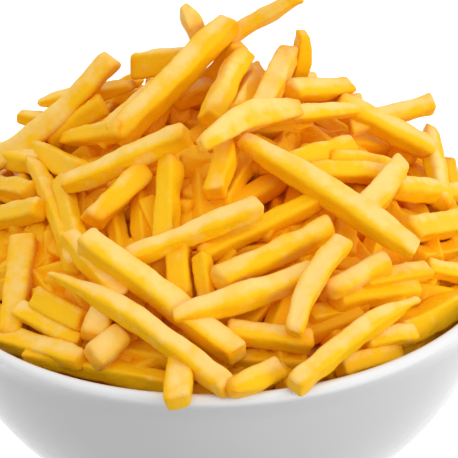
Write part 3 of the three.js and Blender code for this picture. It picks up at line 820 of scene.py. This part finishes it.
def tube_faces(rings, around):
    """Faces of a tube of rings, closed by a fan at each end whose middles are the last two corners."""
    faces = []
    last = (rings - 1) * around
    for ring in range(rings - 1):
        for side in range(around):
            here = ring * around + side
            beside = ring * around + (side + 1) % around
            faces.append((here, beside, beside + around, here + around))
    for side in range(around):
        beside = (side + 1) % around
        faces.append((rings * around, beside, side))
        faces.append((rings * around + 1, last + side, last + beside))
    return faces


def mesh_piece(name, corners, faces, finish=None):
    """A smooth mesh object from corners in mm from the rim's middle, with its finish as attributes."""
    mesh = bpy.data.meshes.new(name)
    room = np.asarray(corners) + (0.0, 0.0, RIM_HEIGHT)
    mesh.from_pydata((room * MM).tolist(), [], faces)
    mesh.polygons.foreach_set("use_smooth", np.ones(len(mesh.polygons), bool))
    for key, values in (finish or {}).items():
        attribute = mesh.attributes.new(key, "FLOAT", "POINT")
        attribute.data.foreach_set("value", np.asarray(values, np.float32))
    mesh.validate()
    mesh.update()
    return placed(name, mesh)


def fries_piece(name, fries, detail, dice):
    """One mesh of many fries."""
    corners = []
    faces = []
    finishes = []
    count = 0
    for fry in fries:
        places, sides, finish = fry_surface(fry, detail, dice)
        corners.append(places)
        faces += [tuple(count + corner for corner in side) for side in sides]
        finishes.append(finish)
        count += len(places)
    joined = {key: np.concatenate([finish[key] for finish in finishes]) for key in finishes[0]}
    return mesh_piece(name, np.concatenate(corners), faces, joined)


# ---- what is turned about the bowl's axis ----

def arc(radius, height, round_, from_degrees, to_degrees, steps):
    angles = np.radians(np.linspace(from_degrees, to_degrees, steps + 1))
    return [(radius + round_ * math.cos(a), height + round_ * math.sin(a)) for a in angles]


def wall_angle(round_, depth):
    return math.degrees(math.asin((depth + BODY_CENTRE) / round_))


def turned_mesh(profile, around):
    """Corners and faces of a profile that starts and ends on the axis, turned about it."""
    angles = np.arange(around) * 2 * math.pi / around
    corners = []
    for radius, height in profile[1:-1]:
        corners += [(radius * math.cos(a), radius * math.sin(a), height) for a in angles]
    corners += [(0.0, 0.0, profile[end][1]) for end in (0, -1)]
    return np.array(corners), tube_faces(len(profile) - 2, around)


def bowl_profile():
    """The bowl's outline, from the recess in its foot out, up over the lip and down to its floor."""
    foot = -RIM_HEIGHT
    foot_inner = FOOT_OUTER - FOOT_WALL
    inner = BODY_RADIUS - WALL
    recess = foot + FOOT_RECESS
    recess_edge = foot_inner - RECESS_SLOPE - RECESS_ROUND
    flare_out, flare_up = FOOT_FLARE
    lowest = -wall_angle(BODY_RADIUS, RIM_HEIGHT - WALL_FOOT)
    outer_wall = arc(0, BODY_CENTRE, BODY_RADIUS, lowest, -wall_angle(BODY_RADIUS, FLARE_HEIGHT), WALL_STEPS)
    inner_wall = arc(0, BODY_CENTRE, inner, -wall_angle(inner, FLARE_HEIGHT),
                     -wall_angle(inner, RIM_HEIGHT - FLOOR_HEIGHT), WALL_STEPS)
    return [
        (0, recess),
        (foot_inner - RECESS_FLAT, recess),
        *arc(recess_edge, recess - RECESS_ROUND, RECESS_ROUND, 90, 0, FOOT_STEPS),
        *arc(foot_inner + FOOT_ROUND, foot + FOOT_ROUND, FOOT_ROUND, 180, 270, FOOT_STEPS),
        *arc(FOOT_OUTER - FOOT_ROUND, foot + FOOT_ROUND, FOOT_ROUND, -90, 0, FOOT_STEPS),
        (FOOT_OUTER, foot + FOOT_WAIST),
        (FOOT_OUTER + flare_out, foot + flare_up),
        *outer_wall[1:],
        *arc(RIM_RADIUS - LIP_ROUND, -LIP_ROUND, LIP_ROUND, LIP_START, LIP_END, LIP_STEPS),
        *inner_wall,
        (0, FLOOR_HEIGHT - RIM_HEIGHT),
    ]


CORE_SINK = 15.0  # how far below the dome the core of the heap lies
CORE_LIFT = 1.0  # over the bowl's floor
CORE_AROUND = 96
CORE_RINGS = 30
CORE_WALL_STEPS = 24
CORE_LUMPS = (2.2, 9.0)  # how high and how wide they are


def core_piece():
    """The bumpy inside of the heap, below all the fries that show, painted dark as the shade in the gaps
    between them.
    """
    wall = BODY_RADIUS - WALL - CLEARANCE * 2
    bottom = -wall_angle(wall, RIM_HEIGHT - FLOOR_HEIGHT - CORE_LIFT)
    top = -wall_angle(wall, CORE_EDGE_DROP + CORE_SINK)
    profile = [(0.0, FLOOR_HEIGHT - RIM_HEIGHT + CORE_LIFT),
               *arc(0, BODY_CENTRE, wall, bottom, top, CORE_WALL_STEPS)]
    edge = profile[-1][0]
    for step in range(1, CORE_RINGS + 1):
        radius = edge * (1 - step / CORE_RINGS)
        profile.append((radius, CORE_RISE - CORE_SINK - CORE_FALL * radius ** 2))
    corners, faces = turned_mesh(profile, CORE_AROUND)
    above = corners[:, 2] > -CORE_EDGE_DROP - CORE_SINK + CORE_LIFT
    height, size = CORE_LUMPS
    corners[:, 2] += np.where(above, height * rough(corners, size, np.zeros(3)), 0.0)
    return mesh_piece("fries_core", corners, faces)


# ---- building materials from nodes ----
MIX_INPUTS = (0, 6, 7)  # the share and the two colours of a Mix node
MIX_RESULT = 2


def new_material(name):
    material = bpy.data.materials.new(name)
    material.use_nodes = True
    tree = material.node_tree
    tree.nodes.clear()
    output = tree.nodes.new("ShaderNodeOutputMaterial")
    shader = tree.nodes.new("ShaderNodeBsdfPrincipled")
    tree.links.new(shader.outputs["BSDF"], output.inputs["Surface"])
    return material, tree, shader


def fill_inputs(tree, node, inputs):
    """Sets a node's inputs to values, or links them to sockets."""
    for key, value in inputs.items():
        if isinstance(value, bpy.types.NodeSocket):
            tree.links.new(value, node.inputs[key])
        else:
            node.inputs[key].default_value = value


def add(tree, kind, inputs=None, **settings):
    """A node with its settings and inputs."""
    node = tree.nodes.new("ShaderNode" + kind)
    for key, value in settings.items():
        setattr(node, key, value)
    fill_inputs(tree, node, inputs or {})
    return node


def attribute(tree, name):
    return add(tree, "Attribute", attribute_name=name).outputs["Fac"]


def object_place(tree):
    return add(tree, "TexCoord").outputs["Object"]


def maths(tree, operation, first, second, clamp=False):
    return add(tree, "Math", {0: first, 1: second}, operation=operation, use_clamp=clamp).outputs[0]


def weighted(tree, *terms):
    """The sum of values, each times its weight."""
    total = maths(tree, "MULTIPLY", *terms[0])
    for value, weight in terms[1:]:
        total = maths(tree, "ADD", total, maths(tree, "MULTIPLY", value, weight))
    return total


def scaled(tree, value, factor, start):
    """A value times a factor, on top of a start."""
    return maths(tree, "ADD", maths(tree, "MULTIPLY", value, factor), start)


def spread(tree, value, low, high, first=0.0, last=1.0):
    """A value's stretch from low to high, turned into one from a first to a last value."""
    inputs = {"Value": value, "From Min": low, "From Max": high, "To Min": first, "To Max": last}
    return add(tree, "MapRange", inputs).outputs[0]


def blend_colours(tree, share, first, second):
    inputs = dict(zip(MIX_INPUTS, (share, first, second)))
    return add(tree, "Mix", inputs, data_type="RGBA").outputs[MIX_RESULT]


def clouds(tree, kind):
    """Noise of a kind: how many features it has in a metre, and its detail."""
    inputs = {"Vector": object_place(tree), "Scale": kind.scale, "Detail": kind.detail}
    return add(tree, "TexNoise", inputs).outputs["Fac"]


def grain(tree, kind, tone):
    """Noise of a kind, its features' size in mm and its detail, that is different on each fry."""
    shift = maths(tree, "MULTIPLY", tone, TONE_SHIFT)
    inputs = {"Vector": object_place(tree), "W": shift, "Scale": 1 / (kind.size * MM), "Detail": kind.detail}
    return add(tree, "TexNoise", inputs, noise_dimensions="4D").outputs["Fac"]


def bump(tree, height, finish):
    """The normal of a surface whose finish has bumps of a strength and of a height in mm."""
    inputs = {"Height": height, "Strength": finish.bump, "Distance": finish.bump_height * MM}
    return add(tree, "Bump", inputs).outputs[0]


# ---- the crust ----
# The crust's colours. Pale shows on faces painted as lit; the golden and the deeper one also serve as painted
# shade.
PALE_CRUST = (0.92, 0.625, 0.185, 1)
GOLD_CRUST_AND_SHADE = (0.93, 0.515, 0.004, 1)
DEEP_CRUST_AND_SHADE = (0.93, 0.39, 0.005, 1)
BROWN_CRUST = (0.68, 0.26, 0.02, 1)
CRUST = SimpleNamespace(shine=0.12, roughness=0.34, bump=0.45, bump_height=0.45)
TONE_SHIFT = 37.0
PATCHES = SimpleNamespace(size=8.0, detail=1.8, stretch=(0.34, 0.66))
MOTTLE = SimpleNamespace(size=2.2, detail=3.0, stretch=(0.3, 0.7), roughness=0.22, bump=0.7)
FINE_GRAIN = SimpleNamespace(size=0.55, detail=2.0, bump=0.3)
SHADE_STRETCH = (0.95, 0.75)  # how much painted light a crust without painted shade has, and one in full painted shade

# How golden, deeper or brown each thing turns the crust; what the shade adds is painted shade. Gold shows
# where its sum is over the least.
GOLD = SimpleNamespace(tone=0.55, shade=0.75, toned_shade=0.9, patch=0.8, edge=0.2, mottle=0.45, least=0.73)
DEEP = SimpleNamespace(tip=0.7, edge=0.15, off_patch=0.25)
BROWN = 0.8
BLISTER = 0.35


def potato_material():
    """Fried potato: pale yellow faces, golden edges, browned tips, fine crust and a thin film of oil, with
    painted shade that turns faces away from the light golden and corners far in the heap deeper.
    """
    material, tree, shader = new_material("fried_potato")
    tone = attribute(tree, "tone")
    tip = attribute(tree, "tip")
    edge = attribute(tree, "edge")
    blister = attribute(tree, "blister")
    painted_shade = spread(tree, attribute(tree, "painted_light"), *SHADE_STRETCH)
    patches = spread(tree, grain(tree, PATCHES, tone), *PATCHES.stretch)
    mottle = spread(tree, grain(tree, MOTTLE, tone), *MOTTLE.stretch)
    fine = grain(tree, FINE_GRAIN, tone)

    # painted shade: faces turned from the light are painted golden, the more so on a golden fry
    turns_gold = scaled(tree, tone, GOLD.toned_shade, GOLD.shade)
    gold_and_shade = weighted(tree, (tone, GOLD.tone), (painted_shade, turns_gold), (patches, GOLD.patch),
                    (edge, GOLD.edge), (mottle, GOLD.mottle))
    gold_and_shade = maths(tree, "SUBTRACT", gold_and_shade, GOLD.least, clamp=True)
    # deeper crust at the tips and edges, and painted shade: corners far in the heap are painted deeper
    deep_and_shade = weighted(tree, (tip, DEEP.tip), (edge, DEEP.edge))
    deep_and_shade = maths(tree, "MULTIPLY", deep_and_shade, maths(tree, "ADD", patches, DEEP.off_patch), clamp=True)
    deep_and_shade = maths(tree, "MAXIMUM", deep_and_shade, attribute(tree, "sunk"))
    browned = maths(tree, "MULTIPLY", maths(tree, "MULTIPLY", tip, mottle), edge)
    browned = maths(tree, "MULTIPLY", browned, BROWN, clamp=True)

    colour = blend_colours(tree, gold_and_shade, PALE_CRUST, GOLD_CRUST_AND_SHADE)
    colour = blend_colours(tree, deep_and_shade, colour, DEEP_CRUST_AND_SHADE)
    colour = blend_colours(tree, browned, colour, BROWN_CRUST)
    colour = blend_colours(tree, maths(tree, "MULTIPLY", blister, BLISTER), colour, PALE_CRUST)
    height = weighted(tree, (fine, FINE_GRAIN.bump), (mottle, MOTTLE.bump))
    fill_inputs(tree, shader, {
        "Base Color": colour,
        "Roughness": scaled(tree, mottle, MOTTLE.roughness, CRUST.roughness),
        "Specular IOR Level": CRUST.shine,
        "Normal": bump(tree, height, CRUST),
    })
    return material


# ---- the heap's inside ----
# painted shade: the heap's inside is coloured dark, as the shade seen in the gaps between fries
CORE_PAINTED_SHADE = (0.75, 0.3, 0.01, 1)
CORE_FINISH = SimpleNamespace(roughness=0.6, bump=0.5, bump_height=1.0)
CORE_PATCHES = SimpleNamespace(scale=90.0, detail=3.0, stretch=(0.35, 0.65))


def core_material():
    """Painted shade for the heap's inside: dark golden, with browner patches."""
    material, tree, shader = new_material("heap_inside_painted_shade")
    patches = clouds(tree, CORE_PATCHES)
    browner = spread(tree, patches, *CORE_PATCHES.stretch)
    fill_inputs(tree, shader, {
        "Base Color": blend_colours(tree, browner, CORE_PAINTED_SHADE, BROWN_CRUST),
        "Roughness": CORE_FINISH.roughness,
        "Normal": bump(tree, patches, CORE_FINISH),
    })
    return material


# ---- the glaze ----
GLAZE_COLOUR = (0.53, 0.53, 0.535, 1)
# painted light: the lip is painted in this whiter glaze, as if it caught more light; the glaze's faint clouds
# show it too
WHITER_GLAZE_AND_LIP_LIGHT = (0.76, 0.76, 0.765, 1)
GLAZE = SimpleNamespace(shine=0.5, roughness=0.1, coat=0.3, coat_roughness=0.05, bump=0.12, bump_height=0.4)
CLOUDS = SimpleNamespace(scale=22.0, detail=2.0, stretch=(0.35, 0.65), colour=0.05)
SPECKS = SimpleNamespace(scale=420.0, detail=2.0, roughness=0.06)


def glaze_material():
    """White porcelain glaze: glossy, with the faint unevenness of a fired surface, and whitest on the lip,
    which is painted light.
    """
    material, tree, shader = new_material("porcelain_glaze")
    cloud = clouds(tree, CLOUDS)
    specks = clouds(tree, SPECKS)
    height = add(tree, "SeparateXYZ", {0: object_place(tree)}).outputs["Z"]
    underside = (RIM_HEIGHT - 2 * LIP_ROUND) * MM
    # painted light on the lip
    lip = spread(tree, height, underside, underside + LIP_ROUND * MM)
    clouded = maths(tree, "MULTIPLY", spread(tree, cloud, *CLOUDS.stretch), CLOUDS.colour)
    fill_inputs(tree, shader, {
        "Base Color": blend_colours(tree, maths(tree, "MAXIMUM", lip, clouded), GLAZE_COLOUR, WHITER_GLAZE_AND_LIP_LIGHT),
        "Roughness": scaled(tree, specks, SPECKS.roughness, GLAZE.roughness),
        "Specular IOR Level": GLAZE.shine,
        "Coat Weight": GLAZE.coat,
        "Coat Roughness": GLAZE.coat_roughness,
        "Normal": bump(tree, cloud, GLAZE),
    })
    return material


# ---- camera, light and floor ----
CAMERA_LENS = 128.5
SENSOR = 36.0
IMAGE_SIZE = 458
RIM_PIXEL = (217.5, 231.0)  # where the middle of the rim shows
CAMERA_ROLL = 1.7  # degrees
NEAREST = 0.01
FLOOR_REACH = 6.0
FLOOR_COLOUR = (0.95, 0.95, 0.95, 1)
FLOOR = SimpleNamespace(roughness=0.9, shine=0.1, glow=0.45)
WHITE = (1, 1, 1, 1)
WORLD_ACROSS = (-0.8, 0.8)  # where the light low down changes from the left's to the right's
WORLD_UP = (-0.25, 0.15)  # where it changes from the light low down to the light above
LIGHT_BOUNCES = 8


def add_camera():
    """A camera at the guest's eye, rolled and aimed a little off the middle of the rim."""
    view = viewpoint(0, SERVING_TILT)
    roll = math.radians(CAMERA_ROLL)
    right = view.right * math.cos(roll) - view.up * math.sin(roll)
    up = view.right * math.sin(roll) + view.up * math.cos(roll)
    focal = CAMERA_LENS / SENSOR * IMAGE_SIZE
    aside = (IMAGE_SIZE / 2 - RIM_PIXEL[0]) / focal
    above = (RIM_PIXEL[1] - IMAGE_SIZE / 2) / focal
    ahead = unit(view.ahead + right * aside + up * above)
    right = unit(right - ahead * (right @ ahead))
    up = np.cross(right, ahead)
    data = bpy.data.cameras.new("camera")
    data.lens = CAMERA_LENS
    data.sensor_width = SENSOR
    data.clip_start = NEAREST
    camera = placed("camera", data)
    turn = Matrix((right, up, -ahead)).transposed().to_4x4()
    place = (view.eye + (0, 0, RIM_HEIGHT)) * MM
    camera.matrix_world = Matrix.Translation(Vector(place)) @ turn
    scene.camera = camera


def add_light(name, place, aim, size, power):
    data = bpy.data.lights.new(name, "AREA")
    data.shape = "DISK"
    data.size = size
    data.energy = power
    light = placed(name, data)
    light.location = place
    light.rotation_euler = (Vector(aim) - Vector(place)).to_track_quat("-Z", "Y").to_euler()
    return light


def add_floor():
    """A white floor that glows a little and throws no light back on the bowl."""
    sides = ((-1, -1), (1, -1), (1, 1), (-1, 1))
    mesh = bpy.data.meshes.new("floor")
    mesh.from_pydata([(x * FLOOR_REACH, y * FLOOR_REACH, 0) for x, y in sides], [], [(0, 1, 2, 3)])
    floor = placed("floor", mesh)
    material, tree, shader = new_material("floor_white")
    fill_inputs(tree, shader, {
        "Base Color": FLOOR_COLOUR,
        "Roughness": FLOOR.roughness,
        "Specular IOR Level": FLOOR.shine,
        "Emission Color": WHITE,
        "Emission Strength": FLOOR.glow,
    })
    floor.visible_diffuse = False
    mesh.materials.append(material)


def add_world(above, left, right):
    """A plain white studio: even light from above, and low down more of it from the right."""
    world = bpy.data.worlds.new("studio")
    world.use_nodes = True
    scene.world = world
    tree = world.node_tree
    direction = add(tree, "SeparateXYZ", {0: add(tree, "TexCoord").outputs["Generated"]})
    low = spread(tree, direction.outputs["X"], *WORLD_ACROSS, left, right)
    strength = spread(tree, direction.outputs["Z"], *WORLD_UP, low, above)
    fill_inputs(tree, tree.nodes["Background"], {"Color": WHITE, "Strength": strength})


# ---- the pieces ----
BACK_TONES = (0.1, 0.7)
LOWER_TONES = (0.5, 0.9)
SHOWN = SimpleNamespace(spacing=1.9, end_steps=6, flat_points=3, blisters=3)
BURIED = SimpleNamespace(spacing=4.5, end_steps=5, flat_points=1, blisters=0)

random = random_stream(SEED)
fill = lay_fill(random)
serving_view = viewpoint(0, SERVING_TILT)
front = lay_rows(serving_view, MIDDLE_FRIES + TOP_FRIES + LIP_FRIES + LAST_FRIES, random)
for fry, tone in zip(front, MIDDLE_TONES + TOP_TONES + LIP_TONES + LAST_TONES):
    fry.tone = tone
back = lay_rows(viewpoint(BACK_BEARING, FILL_TILT), BACK_FRIES, random)
under = [laid_fry(serving_view, prepare(serving_view, fry_from_row(row), UNDER_LIFT), random)
         for row in UNDER_FRIES]

dice = np.random.default_rng(BELOW_SEED)
below = lay_below(dice)
for fry in fill + back:
    fry.tone = dice.uniform(*BACK_TONES)
for fry in under + below:
    fry.tone = dice.uniform(*LOWER_TONES)
middle_count = len(MIDDLE_FRIES)
crust = potato_material()
food = [
    fries_piece("fries_top", front[middle_count:], SHOWN, dice),
    fries_piece("fries_middle", front[:middle_count], SHOWN, dice),
    fries_piece("fries_round_the_back", fill + back, SHOWN, dice),
    fries_piece("fries_in_the_gaps", under, SHOWN, dice),
    fries_piece("fries_below", below, BURIED, dice),
]
for piece in food:
    piece.data.materials.append(crust)
core = core_piece()
core.data.materials.append(core_material())
for piece in [*food, core]:
    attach(piece, "root")
    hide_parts("fries")

bowl = mesh_piece("bowl_glazed", *turned_mesh(bowl_profile(), BOWL_AROUND))
bowl.data.materials.append(glaze_material())
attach(bowl, "root")
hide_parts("bowl")

add_camera()
add_floor()
add_world(above=1.0, left=0.3, right=0.6)
add_light("key", place=(0.3, -0.4, 1.5), aim=(0, 0, 0.1), size=1.3, power=2)
side = add_light("side", place=(1.2, -0.7, 0.25), aim=(0, 0, 0.05), size=1.0, power=8)
side.visible_glossy = False
scene.view_settings.view_transform = "Standard"
scene.cycles.diffuse_bounces = LIGHT_BOUNCES
scene.cycles.max_bounces = LIGHT_BOUNCES
